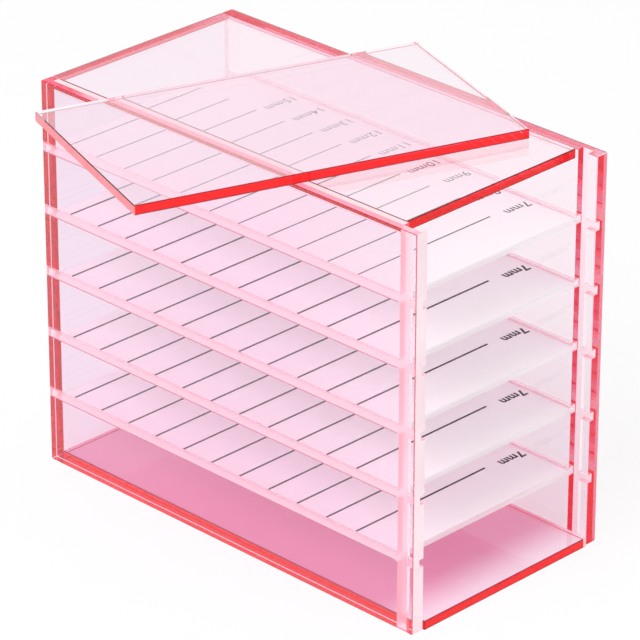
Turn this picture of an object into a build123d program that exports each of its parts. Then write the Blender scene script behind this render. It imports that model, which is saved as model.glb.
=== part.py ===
import os

from build123d import *

# Outer size of the box. It stands on its base, and its open end faces +X.
box_length = 157.6
box_width = 81.2
box_height = 130.0

# Sheet thicknesses
side_sheet = 4.7
thin_sheet = 3.2
tile_sheet = 1.8
label_film = 0.15
arris = 0.25

# Grooves for the tiles, milled the whole length of both side walls
tile_count = 5
tile_pitch = 21.05
tile_groove_width = 2.8
tile_groove_depth = 2.0

# Upright groove for the cover, behind a lip at the open end
cover_groove_width = 4.0
cover_groove_depth = 2.3
front_lip = 3.4

# How far the top plate ends behind the cover groove, and the bottom plate stands out of the open end
top_setback = 0.9
bottom_overhang = 0.6

# Clearances
tile_side_play = 0.3
tile_end_play = 0.3
cover_side_play = 1.05
label_inset = 0.3

# Seams: the cement between glued sheets, and the skin of air under a sheet that lies loose
cement_line = 0.02
air_skin = 0.02

# The cover lies loose on the top: the middle of it, and how far its long side is turned from +X
cover_x = -0.3
cover_y = -15.6
cover_turn = 70.2

half_length = box_length / 2
half_width = box_width / 2
inner_width = box_width - 2 * side_sheet
inner_face_y = inner_width / 2
glued_width = inner_width - 2 * cement_line
inner_back_x = thin_sheet - half_length
plate_back_x = inner_back_x + cement_line
lip_back_x = half_length - front_lip
groove_back_x = lip_back_x - cover_groove_width

middle_up = (tile_count - 1) / 2
groove_middles = [
    box_height / 2 + (number - middle_up) * tile_pitch for number in range(tile_count)
]

tile_length = groove_back_x - inner_back_x - 2 * tile_end_play
tile_width = inner_width + 2 * (tile_groove_depth - tile_side_play)
tile_x = inner_back_x + tile_end_play + tile_length / 2
label_length = tile_length - 2 * label_inset
label_width = inner_width - 2 * label_inset

cover_length = box_height - thin_sheet
cover_width = inner_width + 2 * (cover_groove_depth - cover_side_play)

on_base = (Align.CENTER, Align.CENTER, Align.MIN)


def finish(piece, name):
    """Names a finished piece and writes it."""
    piece.label = name
    export_step(piece, f"parts/{name}.step")


os.makedirs("parts", exist_ok=True)

# Side walls: one thick sheet each, with its grooves on the inner face
for wall_name, side in (("left_wall", -1), ("right_wall", 1)):
    with BuildPart(Plane((0, side * (half_width - side_sheet / 2), 0))) as side_wall:
        Box(box_length, side_sheet, box_height, align=on_base)
        chamfer(side_wall.edges(), arris)

        # Tile grooves, open at both ends of the wall
        groove_y = side * (inner_face_y + tile_groove_depth / 2)
        with BuildSketch(Plane.YZ.offset(-half_length)) as tile_grooves:
            with Locations([(groove_y, height) for height in groove_middles]):
                Rectangle(tile_groove_depth, tile_groove_width)
        extrude(amount=box_length, mode=Mode.SUBTRACT)

        # Cover groove, open at the top, so that the cover drops in from above
        with BuildSketch(Plane.XY) as cover_groove:
            with Locations((
                (groove_back_x + lip_back_x) / 2,
                side * (inner_face_y + cover_groove_depth / 2),
            )):
                Rectangle(cover_groove_width, cover_groove_depth)
        extrude(amount=box_height, mode=Mode.SUBTRACT)
    finish(side_wall.part, wall_name)

# Back wall, glued between the side walls at the closed end
with BuildPart(Plane((thin_sheet / 2 - half_length, 0, 0))) as back_wall:
    Box(thin_sheet, glued_width, box_height, align=on_base)
    chamfer(back_wall.edges(), arris)
finish(back_wall.part, "back_wall")

# Bottom plate: it runs out past the open end and stops the cover
bottom_length = half_length + bottom_overhang - plate_back_x
with BuildPart(Plane((plate_back_x + bottom_length / 2, 0, 0))) as bottom_plate:
    Box(bottom_length, glued_width, thin_sheet, align=on_base)
    chamfer(bottom_plate.edges(), arris)
finish(bottom_plate.part, "bottom_plate")

# Top plate: it ends just behind the cover groove, which leaves the way in for the cover
top_length = groove_back_x - top_setback - plate_back_x
with BuildPart(Plane((plate_back_x + top_length / 2, 0, box_height - thin_sheet))) as top_plate:
    Box(top_length, glued_width, thin_sheet, align=on_base)
    chamfer(top_plate.edges(), arris)
finish(top_plate.part, "top_plate")

# Tiles from the lowest up, each resting on the lower flank of its grooves, and their labels
for number, middle in enumerate(groove_middles, 1):
    tile_bottom = middle - tile_groove_width / 2 + air_skin
    with BuildPart(Plane((tile_x, 0, tile_bottom))) as tile:
        Box(tile_length, tile_width, tile_sheet, align=on_base)
        chamfer(tile.edges(), arris)
    finish(tile.part, f"tile_{number}")

    with BuildPart(Plane((tile_x, 0, tile_bottom + tile_sheet))) as tile_label:
        Box(label_length, label_width, label_film, align=on_base)
    finish(tile_label.part, f"tile_label_{number}")

# Cover, which slides down its grooves when the box is shut, lying on the top
cover_plane = Plane(
    origin=(cover_x, cover_y, box_height + air_skin),
    x_dir=Vector(1, 0, 0).rotate(Axis.Z, cover_turn),
    z_dir=(0, 0, 1),
)
with BuildPart(cover_plane) as sliding_cover:
    Box(cover_length, cover_width, thin_sheet, align=on_base)
    chamfer(sliding_cover.edges(), arris)
finish(sliding_cover.part, "sliding_cover")

print(f"tile {tile_length:.1f} x {tile_width:.1f}, cover {cover_length:.1f} x {cover_width:.1f}")
print(f"clear height between two tiles {tile_pitch - tile_sheet - label_film:.2f}")
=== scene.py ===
import math

import bpy
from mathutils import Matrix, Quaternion, Vector


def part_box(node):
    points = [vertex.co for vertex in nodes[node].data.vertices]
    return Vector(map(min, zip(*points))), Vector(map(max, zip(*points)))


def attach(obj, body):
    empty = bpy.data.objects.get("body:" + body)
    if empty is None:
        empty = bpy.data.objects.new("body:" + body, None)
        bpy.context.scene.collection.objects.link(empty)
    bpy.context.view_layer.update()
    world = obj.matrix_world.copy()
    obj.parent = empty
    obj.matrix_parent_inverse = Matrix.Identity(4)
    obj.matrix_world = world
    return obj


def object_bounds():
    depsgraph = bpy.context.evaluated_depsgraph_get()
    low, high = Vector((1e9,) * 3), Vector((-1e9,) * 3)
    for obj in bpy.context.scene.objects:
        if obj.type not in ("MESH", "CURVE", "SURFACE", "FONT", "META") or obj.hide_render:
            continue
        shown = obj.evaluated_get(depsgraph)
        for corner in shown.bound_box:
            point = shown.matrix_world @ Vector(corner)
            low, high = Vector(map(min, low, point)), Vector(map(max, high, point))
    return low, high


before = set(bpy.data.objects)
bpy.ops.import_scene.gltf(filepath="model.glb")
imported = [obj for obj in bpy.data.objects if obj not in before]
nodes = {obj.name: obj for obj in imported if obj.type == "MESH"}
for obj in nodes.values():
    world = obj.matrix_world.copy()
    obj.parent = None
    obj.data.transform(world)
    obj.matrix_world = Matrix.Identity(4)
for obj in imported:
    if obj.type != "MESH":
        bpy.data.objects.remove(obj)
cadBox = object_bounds()
mm = 0.001
tileCount = 5
print("frame loaded,", len(nodes), "nodes")


def addNode(tree, kind, settings=None, **inputs):
    # one shader node; inputs are given by socket name, spaces left out, as values or as sockets to link
    made = tree.nodes.new("ShaderNode" + kind)
    for key, value in (settings or {}).items():
        setattr(made, key, value)
    sockets = {socket.name.replace(" ", ""): socket for socket in reversed(made.inputs)}
    for key, value in inputs.items():
        socket = made.inputs[int(key[1:])] if key[0] == "_" else sockets[key]
        if isinstance(value, bpy.types.NodeSocket):
            tree.links.new(value, socket)
        else:
            socket.default_value = value
    return made


def calc(tree, operation, first, second=0.0):
    return addNode(tree, "Math", {"operation": operation}, _0=first, _1=second).outputs[0]


def vectorCalc(tree, operation, first, second=(0, 0, 0)):
    made = addNode(tree, "VectorMath", {"operation": operation}, _0=first, _1=second)
    return made.outputs["Value"] if operation == "DOT_PRODUCT" else made.outputs[0]


def mixColour(tree, share, first, second):
    made = addNode(tree, "Mix", {"data_type": "RGBA"}, _0=share, _6=first, _7=second)
    return made.outputs[2]


def mixValue(tree, share, first, second):
    made = addNode(tree, "Mix", {"data_type": "FLOAT"}, _0=share, _2=first, _3=second)
    return made.outputs[0]


def newMaterial(name):
    made = bpy.data.materials.new(name)
    made.use_nodes = True
    made.node_tree.nodes.clear()
    return made, made.node_tree


# Camera, at the photograph's angle: it looks at aim from a long way off through a long lens
camera = {
    "azimuth": 44.65,  # degrees, as are elevation and roll
    "elevation": 26.16,
    "roll": 0.085,
    "distance": 1.3362,  # metres, as are aim and clip
    "aim": (0.00451, -0.00408, 0.065),
    "clip": (0.01, 20),
    "lens": 247.66,  # mm, as is sensor
    "sensor": 36,
}


def makeCamera():
    turn = math.radians(camera["azimuth"])
    rise = math.radians(camera["elevation"])
    back = Vector((
        math.sin(turn) * math.cos(rise),
        -math.cos(turn) * math.cos(rise),
        math.sin(rise),
    ))
    data = bpy.data.cameras.new("camera")
    data.lens = camera["lens"]
    data.sensor_width = camera["sensor"]
    data.clip_start, data.clip_end = camera["clip"]
    made = bpy.data.objects.new("camera", data)
    made.location = Vector(camera["aim"]) + back * camera["distance"]
    made.rotation_mode = "QUATERNION"
    lean = Quaternion((0, 0, 1), math.radians(camera["roll"]))
    made.rotation_quaternion = (-back).to_track_quat("-Z", "Y") @ lean
    bpy.context.scene.collection.objects.link(made)
    bpy.context.scene.camera = made


makeCamera()
print("camera placed")

# Pink acrylic. Light that crosses a sheet stays pale. Light that is trapped between its faces has lost
# nearly all its green and blue when it comes out at an edge, so the edges look red. Milled and sawn faces
# are partly matt. Where a finish starts is given in mm from the middle of its sheet.
plainEdge = {
    "tint": (1.0, 0.88, 0.90, 1),
    "shade": (0.95, 0.80, 0.84, 1),  # colour of the blotches
    "blotchScale": 70.0,
    "drawnOut": True,  # the blotches are drawn out across the edge, as saw marks are
    "matt": 0.0,
    "towardFront": None,  # the tint at the open end, where it isn't the same all along
}
plainArris = {
    "toward": (0, 0, 1),
    "from": -1000.0,  # so far back that it takes in the whole sheet
    "tint": (0.45, 0.33, 0.37, 1),
    "matt": 0.85,
}
redArris = {**plainArris, "tint": (0.7, 0.03, 0.05, 1), "matt": 0.0}
pinkAcrylic = {
    "takenPerMetre": (0.3, 14.0, 6.0),  # how strongly the dye takes red, green and blue
    "ior": 1.49,
    "faceTint": (1.0, 0.965, 0.98, 1),
    "deep": None,
    "passingTint": (1.0, 0.985, 0.993, 1),
    "faceHaze": 0.0,
    "trappedTint": (0.9, 0.0002, 0.0012, 1),
    "clearBounces": 1.0,  # up to here trapped light keeps the plain tint
    "redBounces": 7.0,  # and from here on it has all of the trapped one
    "edgeShine": (1.0, 0.6, 0.6, 1),
    # a painted glow: the flat edges give off a little red light of their own, standing in for light that
    # the sheet pipes out at its edges
    "edgeGlow": (1.0, 0.045, 0.035, 1),
    "edgeGlowStrength": 0.03,
    "edgeRoughness": 0.06,
    "mattRoughness": 0.35,
    "roughFrom": 0.25,  # an edge that is at least this matt has all of the matt roughness
    "granularSide": None,
    "grainTint": (0.30, 0.0, 0.004, 1),
    "grainScale": 700.0,
    "grainEnds": (0.48, 0.62),
    "wallEdge": None,
    "grooves": None,
    "patches": [],
    "insideArris": (0.95, 0.3, 0.32, 1),
    "clearInside": False,
    "waviness": 0.02,
    "waveScale": 40.0,
    "sawMarks": 0.15,
    "sawMarkScale": 900.0,
    "sawMarkStretch": 0.08,
    "bumpHeight": 0.2,  # mm
}
outwardFrom = {
    "front": (1, 0, 0),
    "back": (-1, 0, 0),
    "left": (0, -1, 0),
    "right": (0, 1, 0),
    "top": (0, 0, 1),
}
blotchEnds = (0.38, 0.66)  # the noise values between which a tint turns to its shade
flat = 0.9  # a surface looks along an axis from this share of its normal on
arrisBelow = 0.8  # and is an arris where no axis has this share
bounced = 0.5  # a depth above this means one bounce or more


def readSurface(tree, nodeName):
    # where a point of a sheet lies in the sheet's own box, and which way the surface faces there
    low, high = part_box(nodeName)
    thinAxis = min(range(3), key=lambda axis: high[axis] - low[axis])
    place = addNode(tree, "TexCoord").outputs
    normal = vectorCalc(tree, "ABSOLUTE", place["Normal"])
    facing = addNode(tree, "SeparateXYZ", None, Vector=normal).outputs
    spot = addNode(tree, "SeparateXYZ", None, Vector=place["Object"]).outputs
    fromMiddle = vectorCalc(tree, "SUBTRACT", place["Object"], (low + high) / 2)
    away = vectorCalc(tree, "SUBTRACT", (high - low) / 2, vectorCalc(tree, "ABSOLUTE", fromMiddle))
    inside = addNode(tree, "SeparateXYZ", None, Vector=away).outputs
    biggest = calc(tree, "MAXIMUM", calc(tree, "MAXIMUM", facing[0], facing[1]), facing[2])
    squeeze = [pinkAcrylic["sawMarkStretch"] if axis == thinAxis else 1.0 for axis in range(3)]
    depth = addNode(tree, "MapRange", None, Value=spot[0], FromMin=low[0], FromMax=high[0])
    return {
        "place": place["Object"],
        "across": addNode(tree, "Mapping", None, Vector=place["Object"], Scale=squeeze).outputs[0],
        "spot": spot,
        "facing": facing,
        "fromMiddle": fromMiddle,
        "outward": vectorCalc(tree, "MULTIPLY", normal, vectorCalc(tree, "SIGN", fromMiddle)),
        "inside": calc(tree, "MINIMUM", calc(tree, "MINIMUM", inside[0], inside[1]), inside[2]),
        "depth": depth.outputs[0],
        "isFace": calc(tree, "GREATER_THAN", facing[thinAxis], flat),
        "isArris": calc(tree, "LESS_THAN", biggest, arrisBelow),
    }


def isFacing(tree, here, direction, least=flat):
    return calc(tree, "GREATER_THAN", vectorCalc(tree, "DOT_PRODUCT", here["outward"], direction), least)


def isBeyond(tree, here, toward, start):
    # past a plane that lies across a direction, so many mm from the middle of the sheet
    reach = vectorCalc(tree, "DOT_PRODUCT", here["fromMiddle"], toward)
    return calc(tree, "GREATER_THAN", reach, start * mm)


def ramp(tree, value, ends):
    # nothing up to the first end, all from the second on
    return addNode(tree, "MapRange", None, Value=value, FromMin=ends[0], FromMax=ends[1]).outputs[0]


def blotched(tree, place, scale, first, second):
    blotch = addNode(tree, "TexNoise", None, Vector=place, Scale=scale, Detail=3.0)
    return mixColour(tree, ramp(tree, blotch.outputs["Fac"], blotchEnds), first, second)


def letLightBy(tree, surface, tint, share=None):
    # light on its way to the labels and the floor passes straight through the sheets
    ray = addNode(tree, "LightPath").outputs
    lets = calc(tree, "MAXIMUM", ray["Is Shadow Ray"], ray["Is Diffuse Ray"])
    if share is not None:
        lets = calc(tree, "MAXIMUM", lets, share)
    clear = addNode(tree, "BsdfTransparent", None, Color=tint)
    return addNode(tree, "MixShader", None, _0=lets, _1=surface.outputs[0], _2=clear.outputs[0]).outputs[0]


def makeMarks(tree, here, look):
    # saw marks run across the cut edges, the cast faces are very slightly wavy and the arrises are smooth
    marks = addNode(tree, "TexNoise", None, Vector=here["across"], Scale=look["sawMarkScale"], Detail=2.0)
    wave = addNode(tree, "TexNoise", None, Vector=here["place"], Scale=look["waveScale"], Detail=0.0)
    height = mixValue(tree, here["isFace"], marks.outputs["Fac"], wave.outputs["Fac"])
    strength = mixValue(tree, here["isFace"], look["sawMarks"], look["waviness"])
    strength = mixValue(tree, here["isArris"], strength, 0.0)
    bump = addNode(tree, "Bump", None, Strength=strength, Distance=look["bumpHeight"] * mm, Height=height)
    return bump.outputs[0]


def finishEdges(tree, here, look):
    # the narrow edges, side by side
    tint = blotched(tree, here["across"], plainEdge["blotchScale"], plainEdge["tint"], plainEdge["shade"])
    matt = plainEdge["matt"]
    for sideName, changes in look["edges"].items():
        edge = {**plainEdge, **changes}
        onSide = isFacing(tree, here, outwardFrom[sideName])
        over = here["across"] if edge["drawnOut"] else here["place"]
        sideTint = blotched(tree, over, edge["blotchScale"], edge["tint"], edge["shade"])
        if edge["towardFront"]:
            sideTint = mixColour(tree, here["depth"], sideTint, edge["towardFront"])
        tint = mixColour(tree, onSide, tint, sideTint)
        matt = mixValue(tree, onSide, matt, edge["matt"])
    return tint, matt


def finishWallEdge(tree, here, wallEdge, tint, matt):
    # a paler strip along the inner side of a wall's top, and the clear, blotchy closed end beside it
    strip = wallEdge["strip"]
    onStrip = calc(tree, "LESS_THAN", calc(tree, "ABSOLUTE", here["spot"][1]), strip["until"] * mm)
    onStrip = calc(tree, "MULTIPLY", onStrip, isFacing(tree, here, outwardFrom["top"]))
    onStrip = calc(tree, "MULTIPLY", onStrip, calc(tree, "GREATER_THAN", here["depth"], strip["fromDepth"]))
    tint = mixColour(tree, onStrip, tint, strip["tint"])
    matt = mixValue(tree, onStrip, matt, strip["matt"])
    end = wallEdge["closedEnd"]
    isEnd = ramp(tree, here["depth"], end["ends"])
    isEnd = calc(tree, "MULTIPLY", isEnd, calc(tree, "SUBTRACT", 1.0, onStrip))
    endTint = blotched(tree, here["place"], end["blotchScale"], end["tint"], end["shade"])
    return mixColour(tree, isEnd, tint, endTint), mixValue(tree, isEnd, matt, 0.0)


def finishGrooves(tree, here, groove, tint, matt):
    # milled faces are matt, with a line of painted shade low in each tile groove, under the top plate
    isMilled = calc(tree, "GREATER_THAN", here["inside"], groove["leastDepth"] * mm)
    isMilled = calc(tree, "MULTIPLY", isMilled, calc(tree, "SUBTRACT", 1.0, here["isArris"]))
    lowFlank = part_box("tile_1")[0].z
    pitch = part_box("tile_2")[0].z - lowFlank
    above = calc(tree, "FLOORED_MODULO", calc(tree, "SUBTRACT", here["spot"][2], lowFlank), pitch)
    onShadeLine = calc(tree, "LESS_THAN", above, groove["lineWidth"] * mm)
    onShadeLine = calc(tree, "MULTIPLY", onShadeLine, calc(tree, "GREATER_THAN", here["facing"][1], flat))
    behindCover = calc(tree, "LESS_THAN", here["spot"][0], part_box("top_plate")[1].x)
    onShadeLine = calc(tree, "MULTIPLY", onShadeLine, behindCover)
    isAcross = calc(tree, "GREATER_THAN", here["facing"][0], flat)
    milledTint = mixColour(tree, isAcross, groove["tint"], groove["crossTint"])
    milledTint = mixColour(tree, onShadeLine, milledTint, groove["line"])
    milledMatt = calc(tree, "ABSOLUTE", vectorCalc(tree, "DOT_PRODUCT", here["outward"], groove["matt"]))
    return isMilled, mixColour(tree, isMilled, tint, milledTint), mixValue(tree, isMilled, matt, milledMatt)


def finishFaces(tree, here, look, isFace, tint, matt):
    # the broad faces are clear; a sheet with a painted shade has its face painted darker and pinker from
    # the closed end up to near the open end, and pale where light comes in at the open end
    faceTint = look["faceTint"]
    if look["deep"]:
        isPast = addNode(
            tree, "MapRange", {"interpolation_type": "SMOOTHSTEP"}, Value=here["depth"],
            FromMin=look["deep"]["until"])
        faceTint = mixColour(tree, isPast.outputs[0], look["deep"]["tint"], faceTint)
    return mixColour(tree, isFace, tint, faceTint), mixValue(tree, isFace, matt, 0.0)


def finishArrises(tree, here, look, tint, matt):
    for arris in [plainArris] + look["arrises"]:
        onArris = isBeyond(tree, here, arris["toward"], arris["from"])
        onArris = calc(tree, "MULTIPLY", onArris, here["isArris"])
        tint = mixColour(tree, onArris, tint, arris["tint"])
        matt = mixValue(tree, onArris, matt, arris["matt"])
    return tint, matt


def finishPatches(tree, here, look, tint, matt):
    # a part of an edge that looks different, such as a darker border or a smear of cement
    for patch in look["patches"]:
        onPatch = isBeyond(tree, here, patch["toward"], patch["from"])
        isOn = isFacing(tree, here, outwardFrom[patch["on"]], patch["least"])
        onPatch = calc(tree, "MULTIPLY", onPatch, isOn)
        tint = mixColour(tree, onPatch, tint, patch["tint"])
        if patch["matt"] is not None:
            matt = mixValue(tree, onPatch, matt, patch["matt"])
    return tint, matt


def tintInside(tree, here, look, ray, isInside, tint):
    # light that has been turned back inside the sheet many times comes out red
    tint = mixColour(tree, isInside, tint, look["insideArris"])
    trapped = ramp(tree, ray["Glossy Depth"], (look["clearBounces"], look["redBounces"]))
    tint = mixColour(tree, trapped, tint, look["trappedTint"])
    if look["granularSide"]:
        grain = addNode(tree, "TexNoise", None, Vector=here["place"], Scale=look["grainScale"], Detail=2.0)
        share = ramp(tree, grain.outputs["Fac"], look["grainEnds"])
        share = calc(tree, "MULTIPLY", share, isFacing(tree, here, outwardFrom[look["granularSide"]]))
        tint = mixColour(tree, share, tint, look["grainTint"])
    return tint


def makeAcrylic(nodeName, changes):
    look = {**pinkAcrylic, **changes}
    made, tree = newMaterial(nodeName + "Acrylic")
    here = readSurface(tree, nodeName)
    isFace = here["isFace"]
    isFlatEdge = calc(tree, "SUBTRACT", 1.0, calc(tree, "MAXIMUM", isFace, here["isArris"]))

    # tint and mattness, each finish over the one before
    tint, matt = finishEdges(tree, here, look)
    if look["wallEdge"]:
        tint, matt = finishWallEdge(tree, here, look["wallEdge"], tint, matt)
    if look["grooves"]:
        isMilled, tint, matt = finishGrooves(tree, here, look["grooves"], tint, matt)
        isFace = calc(tree, "MULTIPLY", isFace, calc(tree, "SUBTRACT", 1.0, isMilled))
    tint, matt = finishFaces(tree, here, look, isFace, tint, matt)
    tint, matt = finishArrises(tree, here, look, tint, matt)
    tint, matt = finishPatches(tree, here, look, tint, matt)

    # light that comes from inside the sheet meets clear arrises, and in some sheets clear edges
    ray = addNode(tree, "LightPath").outputs
    isTurned = calc(tree, "GREATER_THAN", ray["Glossy Depth"], bounced)
    if look["clearInside"]:
        matt = mixValue(tree, calc(tree, "MULTIPLY", isTurned, isFlatEdge), matt, 0.0)
    howRough = calc(tree, "MINIMUM", calc(tree, "DIVIDE", matt, look["roughFrom"]), 1.0)
    roughness = mixValue(tree, isFace, look["edgeRoughness"], 0.0)
    roughness = mixValue(tree, howRough, roughness, look["mattRoughness"])
    isInside = calc(tree, "MULTIPLY", here["isArris"], isTurned)
    matt = mixValue(tree, isInside, matt, 0.0)
    tint = tintInside(tree, here, look, ray, isInside, tint)

    # haze shows only where the eye meets the sheet first
    haze = calc(tree, "MULTIPLY", isFace, calc(tree, "LESS_THAN", ray["Ray Depth"], bounced))
    haze = calc(tree, "MULTIPLY", haze, look["faceHaze"])
    surface = addNode(
        tree, "BsdfPrincipled", None, BaseColor=tint, IOR=look["ior"], Roughness=roughness,
        TransmissionWeight=calc(tree, "SUBTRACT", 1.0, calc(tree, "MAXIMUM", matt, haze)),
        SpecularTint=mixColour(tree, isFace, look["edgeShine"], (1, 1, 1, 1)),
        # the flat edges get the painted red glow
        EmissionColor=look["edgeGlow"],
        EmissionStrength=calc(tree, "MULTIPLY", isFlatEdge, look["edgeGlowStrength"]),
        Normal=makeMarks(tree, here, look),
    )
    strongest = max(look["takenPerMetre"])
    kept = [1 - taken / strongest for taken in look["takenPerMetre"]]
    dye = addNode(tree, "VolumeAbsorption", None, Color=(*kept, 1), Density=strongest)
    passing = letLightBy(tree, surface, look["passingTint"])
    addNode(tree, "OutputMaterial", None, Surface=passing, Volume=dye.outputs[0])
    return made


# Clear acrylic of the tiles, which lets light straight by where the label is stuck down without air
tileAcrylic = {
    "ior": 1.49,
    "tint": (0.995, 0.99, 0.993, 1),
    "edgeTint": (0.97, 0.965, 0.97, 1),
    "roughness": 0.02,
    "edgeRoughness": 0.4,
    "edgeMatt": 0.5,
}


def makeTileAcrylic(name, labelBox):
    look = tileAcrylic
    made, tree = newMaterial(name)
    place = addNode(tree, "TexCoord").outputs
    normal = addNode(tree, "SeparateXYZ", None, Vector=place["Normal"]).outputs
    spot = addNode(tree, "SeparateXYZ", None, Vector=place["Object"]).outputs
    underLabel = calc(tree, "GREATER_THAN", normal[2], flat)
    low, high = labelBox
    for axis in (0, 1):
        middle = (low[axis] + high[axis]) / 2
        away = calc(tree, "ABSOLUTE", calc(tree, "SUBTRACT", spot[axis], middle))
        within = calc(tree, "LESS_THAN", away, (high[axis] - low[axis]) / 2)
        underLabel = calc(tree, "MULTIPLY", underLabel, within)
    isFace = calc(tree, "GREATER_THAN", calc(tree, "ABSOLUTE", normal[2]), flat)
    surface = addNode(
        tree, "BsdfPrincipled", None, IOR=look["ior"],
        BaseColor=mixColour(tree, isFace, look["edgeTint"], look["tint"]),
        Roughness=mixValue(tree, isFace, look["edgeRoughness"], look["roughness"]),
        TransmissionWeight=mixValue(tree, isFace, 1 - look["edgeMatt"], 1.0),
    )
    mixed = letLightBy(tree, surface, (1, 1, 1, 1), underLabel)
    addNode(tree, "OutputMaterial", None, Surface=mixed)
    return made


# Labels: milky white film
labelFilm = {
    "colour": (0.99, 0.975, 0.985, 1),
    "fleck": (0.975, 0.955, 0.968, 1),
    "fleckScale": 1500.0,
    "milkiness": 0.3,
    "roughness": 0.45,
}


def makeLabelFilm(name):
    look = labelFilm
    made, tree = newMaterial(name)
    place = addNode(tree, "TexCoord").outputs
    grain = addNode(tree, "TexNoise", None, Vector=place["Object"], Scale=look["fleckScale"], Detail=2.0)
    colour = mixColour(tree, grain.outputs["Fac"], look["colour"], look["fleck"])
    surface = addNode(tree, "BsdfPrincipled", None, BaseColor=colour, Roughness=look["roughness"])
    through = addNode(tree, "BsdfTranslucent", None, Color=colour)
    mixed = addNode(
        tree, "MixShader", None, _0=look["milkiness"], _1=surface.outputs[0], _2=through.outputs[0])
    addNode(tree, "OutputMaterial", None, Surface=mixed.outputs[0])
    return made


# What each sheet of the box has of its own
paleArris = {**plainArris, "tint": (0.93, 0.86, 0.89, 1), "matt": 0.7}
darkBorder = {"on": "top", "least": flat, "tint": (0.45, 0.17, 0.20, 1), "matt": 0.85}
# painted shade: a dark rim along the bottom of each front edge, where the sheet rests on the floor or on
# the sheet below
lowerRimShade = {
    "on": "front", "least": flat, "toward": (0, 0, -1), "from": 1.1,
    "tint": (0.15, 0.3, 0.6, 1), "matt": None,  # as matt as the rest of the edge
}
closedEnd = {
    "ends": (0.12, 0.084),  # shares of the length between which the closed end starts
    "tint": (0.85, 0.10, 0.22, 1),
    "shade": (0.5, 0.02, 0.06, 1),
    "blotchScale": 500.0,
}
grooves = {
    "leastDepth": 0.02,  # mm below the wall's outside from which a surface is milled
    "tint": (1.0, 0.76, 0.82, 1),
    "crossTint": (0.97, 0.48, 0.60, 1),  # where the surface looks towards the open or the closed end
    "matt": (0.15, 0.5, 0.5),  # where the surface looks along X, Y and Z
    # painted shade: the dark line low in each groove, where the tile sits
    "line": (0.55, 0.2, 0.3, 1),
    "lineWidth": 0.3,
}
leftWall = {
    "faceTint": (0.955, 0.93, 0.955, 1),
    "passingTint": (1.0, 0.95, 0.972, 1),
    "trappedTint": (0.9, 0.0001, 0.003, 1),
    "edges": {
        "top": {"tint": (1.0, 0.76, 0.82, 1), "shade": (1.0, 0.76, 0.82, 1), "matt": 0.25},
        "front": {"tint": (1.0, 0.96, 0.98, 1), "shade": (0.96, 0.88, 0.92, 1), "matt": 0.8},
    },
    "wallEdge": {
        # from a share of the length on, and up to so many mm from the middle of the box
        "strip": {"fromDepth": 0.02, "until": 38.2, "tint": (1.0, 0.93, 0.95, 1), "matt": 0.7},
        "closedEnd": closedEnd,
    },
    "grooves": grooves,
    "arrises": [  # all of them, then the outer ones
        paleArris,
        {**redArris, "toward": (0, -1, 0), "from": 2.05, "tint": (0.6, 0.15, 0.2, 1)},
    ],
}
rightWall = {
    "passingTint": (1.0, 0.95, 0.972, 1),
    "edges": {
        "top": {
            "tint": (0.85, 0.10, 0.16, 1), "shade": (0.85, 0.15, 0.23, 1), "matt": 0.15,
            "towardFront": (0.97, 0.55, 0.66, 1),
        },
        "front": {"tint": (1.0, 0.45, 0.50, 1), "shade": (0.93, 0.34, 0.42, 1)},
    },
    "wallEdge": {
        "strip": {"fromDepth": 0.12, "until": 37.2, "tint": (0.98, 0.60, 0.68, 1), "matt": 0.3},
        "closedEnd": {**closedEnd, "tint": (0.90, 0.22, 0.30, 1), "shade": (0.80, 0.14, 0.20, 1)},
    },
    "grooves": {
        **grooves, "tint": (1.0, 0.80, 0.86, 1), "crossTint": (0.85, 0.40, 0.52, 1),
        "matt": (0.001, 0.5, 0.5), "lineWidth": 0.0,
    },
    "arrises": [  # all, the outer ones, the top's outer and inner ones, those of the closed end
        paleArris,
        {**redArris, "toward": (0, 1, 0), "from": 2.05},
        {**plainArris, "toward": (0, 0.7, 0.7), "from": 46.8, "tint": (0.50, 0.20, 0.24, 1)},
        {**plainArris, "toward": (0, -0.7, 0.7), "from": 46.8, "tint": (0.62, 0.25, 0.35, 1), "matt": 0.7},
        {**paleArris, "toward": (-1, 0, 0), "from": 78.5, "tint": (0.90, 0.50, 0.62, 1), "matt": 0.1},
    ],
    "patches": [{**darkBorder, "toward": (0, 1, 0), "from": 1.5}],
}
backWall = {
    "faceTint": (0.95, 0.915, 0.96, 1),
    "trappedTint": (0.9, 0.0001, 0.003, 1),
    "granularSide": "left",
    "edges": {
        "right": {"tint": (0.85, 0.70, 0.80, 1), "shade": (0.80, 0.62, 0.74, 1), "matt": 0.6},
        "top": {"tint": (0.86, 0.36, 0.44, 1), "shade": (0.80, 0.29, 0.36, 1), "matt": 0.3},
        "left": {
            "tint": (0.85, 0.10, 0.22, 1), "shade": (0.5, 0.03, 0.08, 1),
            "blotchScale": 500.0, "drawnOut": False,
        },
    },
    "arrises": [  # all, the left ones, the right ones, those of the top
        paleArris,
        {**redArris, "toward": (0, -1, 0), "from": 35.5},
        {**plainArris, "toward": (0, 1, 0), "from": 35.5, "tint": (0.93, 0.78, 0.86, 1), "matt": 0.1},
        {**plainArris, "from": 64.6, "tint": (0.80, 0.32, 0.38, 1)},
    ],
    "patches": [{**darkBorder, "toward": (-1, 0, 0), "from": 0.75}],
}
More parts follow.
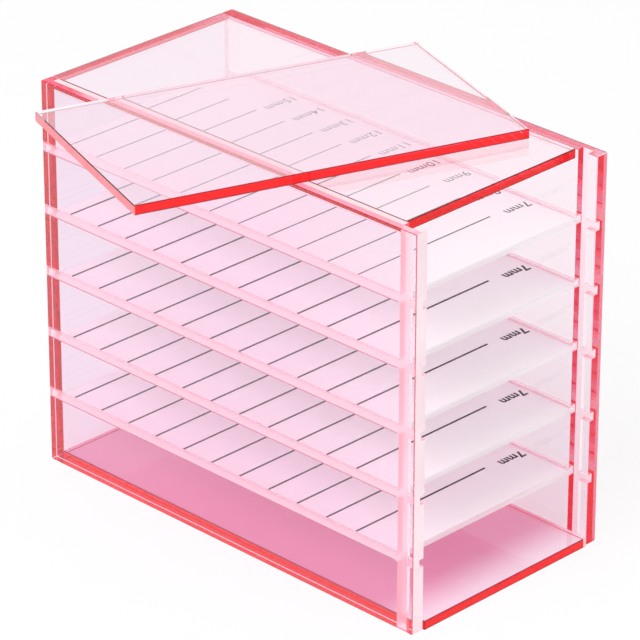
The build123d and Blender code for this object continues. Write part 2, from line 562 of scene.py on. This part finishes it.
bottomPlate = {
    "takenPerMetre": (0.3, 25.0, 12.0),
    "faceTint": (1.0, 0.97, 0.985, 1),
    # painted shade: deep inside, where the tiles above shade it, the plate is painted darker and pinker;
    # near the open end, where light comes in, it keeps its pale tint
    "deep": {"tint": (0.85, 0.40, 0.55, 1), "until": 0.87},
    "edgeGlowStrength": 0.08,
    "edges": {
        "left": {"tint": (0.95, 0.25, 0.32, 1), "shade": (0.95, 0.20, 0.27, 1)},
    },
    "arrises": [  # all, then the right ones
        # painted shade: all the plate's arrises are dark, for the thin dark line where the box stands on
        # the floor
        {**plainArris, "tint": (0.30, 0.02, 0.06, 1)},
        {**redArris, "toward": (0, 1, 0), "from": 35.5, "tint": (0.9, 0.02, 0.02, 1)},
    ],
    "patches": [
        lowerRimShade,
        {  # a smear of cement at the right end of the front edge and its arrises
            "on": "front", "least": 0.6, "toward": (0, 1, 0), "from": 34.4,
            "tint": (1.0, 0.90, 0.93, 1), "matt": 0.7,
        },
    ],
}
topPlate = {
    "takenPerMetre": (0.3, 8.0, 4.0),
    "faceTint": (1.0, 0.955, 0.975, 1),
    "faceHaze": 0.12,
    "clearInside": True,
    "edges": {
        "back": {"tint": (1.0, 0.05, 0.12, 1), "shade": (0.95, 0.04, 0.10, 1), "matt": 0.85},
        "left": {"tint": (0.42, 0.06, 0.10, 1), "shade": (0.36, 0.04, 0.09, 1)},
        "right": {
            "tint": (0.95, 0.42, 0.55, 1), "shade": (0.92, 0.36, 0.48, 1), "matt": 0.8,
            "towardFront": (1.0, 0.80, 0.86, 1),
        },
    },
    "arrises": [  # all, the left ones, those of the closed end, its lower one, the lower right one
        {**redArris, "tint": (0.55, 0.08, 0.13, 1)},
        {**redArris, "toward": (0, -1, 0), "from": 35.5, "tint": (0.2, 0.08, 0.12, 1), "matt": 0.6},
        {**plainArris, "toward": (-1, 0, 0), "from": 72.4, "tint": (0.95, 0.25, 0.35, 1)},
        {**plainArris, "toward": (-0.7, 0, -0.7), "from": 51.9, "tint": (0.35, 0.10, 0.14, 1)},
        {**plainArris, "toward": (-0.02, 0.7, -0.7), "from": 26.1, "tint": (0.50, 0.20, 0.28, 1)},
    ],
    "patches": [
        lowerRimShade,
        {  # the lower part of the left edge is covered in cement
            "on": "left", "least": flat, "toward": (0, 0, -1), "from": 1.0,
            "tint": (1.0, 0.95, 0.97, 1), "matt": 0.9,
        },
        {  # the right edge is clear near the open end
            "on": "right", "least": flat, "toward": (1, 0, 0), "from": 60.0,
            "tint": (1.0, 0.88, 0.90, 1), "matt": 0.0,
        },
    ],
}
slidingCover = {
    "faceTint": (0.975, 0.935, 0.965, 1),
    "trappedTint": (0.9, 0.0009, 0.0004, 1),
    "faceHaze": 0.13,
    "edgeGlow": (1.0, 0.06, 0.035, 1),
    "edgeGlowStrength": 0.05,
    "edges": {
        "left": {"tint": (1.0, 0.58, 0.67, 1), "shade": (1.0, 0.48, 0.58, 1), "matt": 0.38},
    },
    "arrises": [{**redArris, "toward": (0.7, -0.7, 0), "from": 0.0, "tint": (0.25, 0.06, 0.12, 1)}],
    "patches": [lowerRimShade],
}
sheets = {
    "left_wall": leftWall,
    "right_wall": rightWall,
    "back_wall": backWall,
    "bottom_plate": bottomPlate,
    "top_plate": topPlate,
    "sliding_cover": slidingCover,
}
finishes = {nodeName: makeAcrylic(nodeName, changes) for nodeName, changes in sheets.items()}
tileFinish = makeTileAcrylic("tileAcrylic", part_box("tile_label_1"))
filmFinish = makeLabelFilm("labelFilm")
for number in range(1, tileCount + 1):
    finishes[f"tile_{number}"] = tileFinish
    finishes[f"tile_label_{number}"] = filmFinish
for nodeName, finish in finishes.items():
    nodes[nodeName].data.materials.clear()
    nodes[nodeName].data.materials.append(finish)
print("finishes on", len(finishes), "sheets and labels")

# Print on the labels: a ruled line for each length, with its number and mm at the right-hand end
labelPrint = {
    "firstNumber": 7,
    "numberCount": 9,
    "rowCount": 11,  # the two rows at the closed end have no number
    "frontRow": 52.4,  # mm, as are the other lengths
    "rowPitch": 12.3,
    "lineStart": -35.1,
    "lineEnd": 18.9,
    "lineWidth": 0.75,
    "numberStart": 34.3,
    "capHeight": 3.5,
    "capShare": 0.73,  # the height of a digit as a share of the type size
    "boldness": 0.16,
    "letterSpace": 1.05,
    "curveSteps": 3,
    "ink": (0.035, 0.006, 0.022, 1),
    "inkThickness": 0.02,
    "inkGrain": 0.015,
    "inkGrainScale": 4000.0,
    "inkRoughness": 0.5,
}
# the print of the top label is finer and paler
paleTopPrint = {**labelPrint, "lineWidth": 0.5, "boldness": 0.02, "ink": (0.09, 0.07, 0.08, 1)}
barFaces = ((3, 2, 1, 0), (4, 5, 6, 7), (0, 1, 5, 4), (1, 2, 6, 5), (2, 3, 7, 6), (3, 0, 4, 7))


def makeInk(name, look):
    made, tree = newMaterial(name)
    place = addNode(tree, "TexCoord").outputs
    grain = addNode(tree, "TexNoise", None, Vector=place["Object"], Scale=look["inkGrainScale"], Detail=2.0)
    paler = tuple(share + look["inkGrain"] for share in look["ink"][:3]) + (1,)
    colour = mixColour(tree, grain.outputs["Fac"], look["ink"], paler)
    surface = addNode(tree, "BsdfPrincipled", None, BaseColor=colour, Roughness=look["inkRoughness"])
    addNode(tree, "OutputMaterial", None, Surface=surface.outputs[0])
    return made


def makeRuledLines(name, top, look, ink):
    # one mesh with a thin bar of ink for each row
    verts = []
    faces = []
    half = look["lineWidth"] / 2
    start = look["lineStart"]
    end = look["lineEnd"]
    for row in range(look["rowCount"]):
        middle = look["frontRow"] - row * look["rowPitch"]
        corners = (middle - half, start), (middle + half, start), (middle + half, end), (middle - half, end)
        base = len(verts)
        for z in (top, top + look["inkThickness"] * mm):
            verts += [(x * mm, y * mm, z) for x, y in corners]
        faces += [[base + corner for corner in face] for face in barFaces]
    mesh = bpy.data.meshes.new(name)
    mesh.from_pydata(verts, [], faces)
    mesh.materials.append(ink)
    made = bpy.data.objects.new(name, mesh)
    bpy.context.scene.collection.objects.link(made)
    return made


def makeNumbers(name, top, look, ink):
    # one text object, a line of text for each row, read from the closed end
    last = look["firstNumber"] + look["numberCount"]
    data = bpy.data.curves.new(name, "FONT")
    data.body = "\n".join(f"{length}mm" for length in range(look["firstNumber"], last))
    data.resolution_u = look["curveSteps"]
    data.size = look["capHeight"] * mm / look["capShare"]
    data.space_line = look["rowPitch"] * mm / data.size
    data.space_character = look["letterSpace"]
    data.offset = look["boldness"] * mm
    data.extrude = look["inkThickness"] * mm / 2
    data.materials.append(ink)
    made = bpy.data.objects.new(name, data)
    # reading direction along -Y and the tops of the digits towards +X
    made.rotation_euler = (0, 0, -math.pi / 2)
    made.location = (look["frontRow"] * mm, look["numberStart"] * mm, top + data.extrude)
    bpy.context.scene.collection.objects.link(made)
    return made


darkInk = makeInk("labelInk", labelPrint)
paleTopInk = makeInk("paleTopInk", paleTopPrint)
for number in range(1, tileCount + 1):
    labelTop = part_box(f"tile_label_{number}")[1].z
    look, ink = (paleTopPrint, paleTopInk) if number == tileCount else (labelPrint, darkInk)
    for piece in (makeRuledLines(f"ruled_lines_{number}", labelTop, look, ink),
                  makeNumbers(f"length_numbers_{number}", labelTop, look, ink)):
        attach(piece, f"tile_{number}_body")
print("print on", tileCount, "labels")

# Floor and light: a pale floor, a white surround and one soft lamp, high up on the left
studio = {
    "floorSize": 6.0,
    "floorDrop": 0.05,  # mm below the box
    "floorColour": (0.97, 0.97, 0.97, 1),
    "floorWhiteSeen": 0.75,
    "floorWhiteThroughGlass": 0.25,
    "surroundLight": 0.85,
    "lampAt": (0.0, -0.85, 0.95),  # metres, as are the sizes
    "lampSize": 0.8,
    "lampPower": 5.3,
    "facesFollowed": 40,  # how many faces light is followed through
    "mattFollowed": 8,  # and how many matt surfaces
    "clearFollowed": 64,  # and how many see-through ones
}


def makeFloor():
    look = studio
    half = look["floorSize"] / 2
    mesh = bpy.data.meshes.new("floor")
    level = -look["floorDrop"] * mm
    corners = [(-half, -half, level), (half, -half, level), (half, half, level), (-half, half, level)]
    mesh.from_pydata(corners, [], [(0, 1, 2, 3)])
    made = bpy.data.objects.new("floor", mesh)
    bpy.context.scene.collection.objects.link(made)
    material, tree = newMaterial("floor")
    matt = addNode(tree, "BsdfDiffuse", None, Color=look["floorColour"])
    white = addNode(tree, "Emission", None, Color=(1, 1, 1, 1), Strength=1.0)
    ray = addNode(tree, "LightPath").outputs
    through = calc(tree, "MAXIMUM", ray["Is Glossy Ray"], ray["Is Transmission Ray"])
    through = calc(tree, "MULTIPLY", through, look["floorWhiteThroughGlass"])
    seen = calc(tree, "MULTIPLY", ray["Is Camera Ray"], look["floorWhiteSeen"])
    share = calc(tree, "MAXIMUM", seen, through)
    mixed = addNode(tree, "MixShader", None, _0=share, _1=matt.outputs[0], _2=white.outputs[0])
    addNode(tree, "OutputMaterial", None, Surface=mixed.outputs[0])
    mesh.materials.append(material)


def makeSurround():
    # white to the eye, and a little less bright as a light
    world = bpy.data.worlds.new("surround")
    world.use_nodes = True
    tree = world.node_tree
    tree.nodes.clear()
    ray = addNode(tree, "LightPath").outputs
    seen = calc(tree, "MAXIMUM", ray["Is Glossy Ray"], ray["Is Transmission Ray"])
    seen = calc(tree, "MAXIMUM", seen, ray["Is Camera Ray"])
    lit = addNode(tree, "Background", None, Color=(1, 1, 1, 1), Strength=studio["surroundLight"])
    white = addNode(tree, "Background", None, Color=(1, 1, 1, 1), Strength=1.0)
    mixed = addNode(tree, "MixShader", None, _0=seen, _1=lit.outputs[0], _2=white.outputs[0])
    addNode(tree, "OutputWorld", None, Surface=mixed.outputs[0])
    bpy.context.scene.world = world


def makeLamp():
    data = bpy.data.lights.new("softbox", "AREA")
    data.shape = "DISK"
    data.size = studio["lampSize"]
    data.energy = studio["lampPower"]
    made = bpy.data.objects.new("softbox", data)
    made.location = studio["lampAt"]
    middle = (cadBox[0] + cadBox[1]) / 2
    made.rotation_euler = (middle - made.location).to_track_quat("-Z", "Y").to_euler()
    bpy.context.scene.collection.objects.link(made)


makeFloor()
makeSurround()
makeLamp()
scene = bpy.context.scene
scene.view_settings.view_transform = "Standard"
# light is followed through many faces, and isn't blurred after a matt surface
scene.cycles.max_bounces = studio["facesFollowed"]
scene.cycles.transmission_bounces = studio["facesFollowed"]
scene.cycles.glossy_bounces = studio["facesFollowed"]
scene.cycles.diffuse_bounces = studio["mattFollowed"]
scene.cycles.transparent_max_bounces = studio["clearFollowed"]
scene.cycles.blur_glossy = 0.0
print("floor, lamp and surround")
